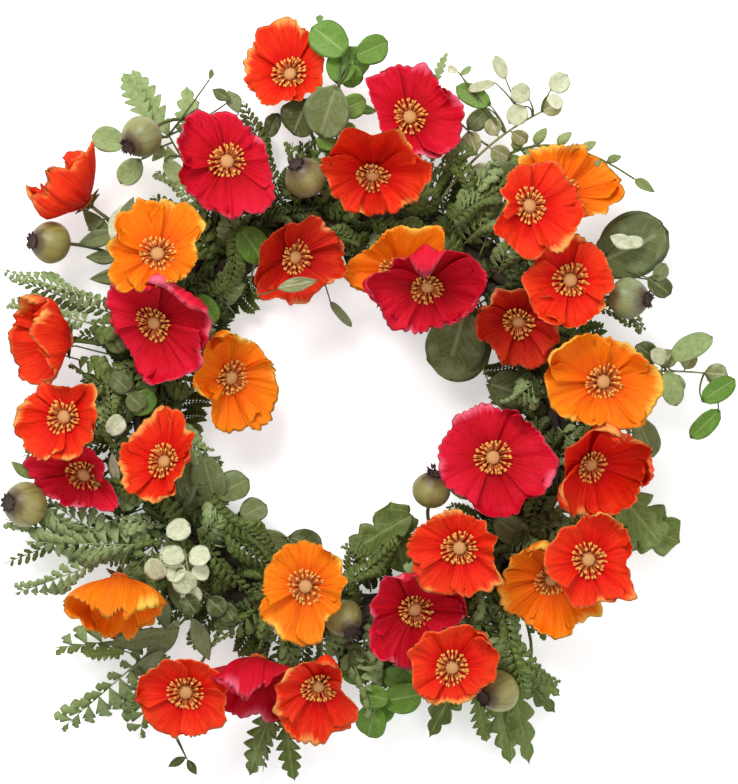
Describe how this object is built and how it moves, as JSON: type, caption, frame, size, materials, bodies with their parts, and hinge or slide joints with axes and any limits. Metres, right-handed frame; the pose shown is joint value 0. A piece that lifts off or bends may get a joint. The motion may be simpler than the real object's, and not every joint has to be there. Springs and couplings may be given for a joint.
{
  "type": "floral wreath",
  "caption": "Round wreath of fabric poppies, seed pods and leaf sprays on a twisted vine ring, lying on its back.",
  "frame": {"origin": "centre of the bounding box at the surface that the vine ring lies on", "axes": "+Z out of the wreath's face, +Y towards its top when it hangs"},
  "size_m": [0.629, 0.6434, 0.1668],
  "materials": {
    "scarlet_petals": "satin polyester, heat-pressed creases, orange rims",
    "crimson_petals": "satin polyester, heat-pressed creases",
    "orange_petals": "satin polyester, heat-pressed creases, yellow rims",
    "stamens": "moulded, matt, golden",
    "flower_stem": "plastic-covered wire, matt",
    "seed_pod": "painted foam, mottled, matt",
    "vine": "dry grapevine bark",
    "fern_leaf": "moulded, matt, veined",
    "bright_leaf": "moulded, semi-gloss, veined",
    "grey_leaf": "printed fabric leaf, matt, veined",
    "silver_leaf": "frosted, matt"
  },
  "bodies": {
    "root": {"broad_leaf_inner_right": "grey_leaf", "broad_leaf_right": "grey_leaf", "bud_sprig_upper_right": "fern_leaf", "crimson_poppy_01": "crimson_petals", "crimson_poppy_02": "crimson_petals", "crimson_poppy_03": "crimson_petals", "crimson_poppy_04": "crimson_petals", "crimson_poppy_05": "crimson_petals", "crimson_poppy_06": "crimson_petals", "crimson_poppy_07": "crimson_petals", "crimson_poppy_08": "crimson_petals", "disc_sprig_lower_left": "silver_leaf", "disc_sprig_right": "silver_leaf", "disc_sprig_top_right": "silver_leaf", "fern_lower_left": "fern_leaf", "fern_lower_right": "fern_leaf", "inner_fern_fringe": "fern_leaf", "ivy_sprig_bottom": "bright_leaf", "ivy_sprig_top": "bright_leaf", "lance_leaves_lower_left": "grey_leaf", "lance_leaves_upper_left": "grey_leaf", "leaf_sprig_inner_left": "grey_leaf", "lobed_leaf_inner_bottom": "fern_leaf", "lobed_leaf_right": "fern_leaf", "orange_poppy_01": "orange_petals", "orange_poppy_02": "orange_petals", "orange_poppy_03": "orange_petals", "orange_poppy_04": "orange_petals", "orange_poppy_05": "orange_petals", "orange_poppy_06": "orange_petals", "orange_poppy_07": "orange_petals", "orange_poppy_08": "orange_petals", "outer_fern_fringe": "fern_leaf", "scarlet_poppy_01": "scarlet_petals", "scarlet_poppy_02": "scarlet_petals", "scarlet_poppy_03": "scarlet_petals", "scarlet_poppy_04": "scarlet_petals", "scarlet_poppy_05": "scarlet_petals", "scarlet_poppy_06": "scarlet_petals", "scarlet_poppy_07": "scarlet_petals", "scarlet_poppy_08": "scarlet_petals", "scarlet_poppy_09": "scarlet_petals", "scarlet_poppy_10": "scarlet_petals", "scarlet_poppy_11": "scarlet_petals", "scarlet_poppy_12": "scarlet_petals", "scarlet_poppy_13": "scarlet_petals", "scarlet_poppy_14": "scarlet_petals", "scarlet_poppy_15": "scarlet_petals", "scarlet_poppy_16": "scarlet_petals", "seed_pod_1": "seed_pod", "seed_pod_2": "seed_pod", "seed_pod_3": "seed_pod", "seed_pod_4": "seed_pod", "seed_pod_5": "seed_pod", "seed_pod_6": "seed_pod", "seed_pod_7": "seed_pod", "seed_pod_8": "seed_pod", "serrated_leaf_top_left": "fern_leaf", "vine_ring": "vine"}
  },
  "joints": []
}
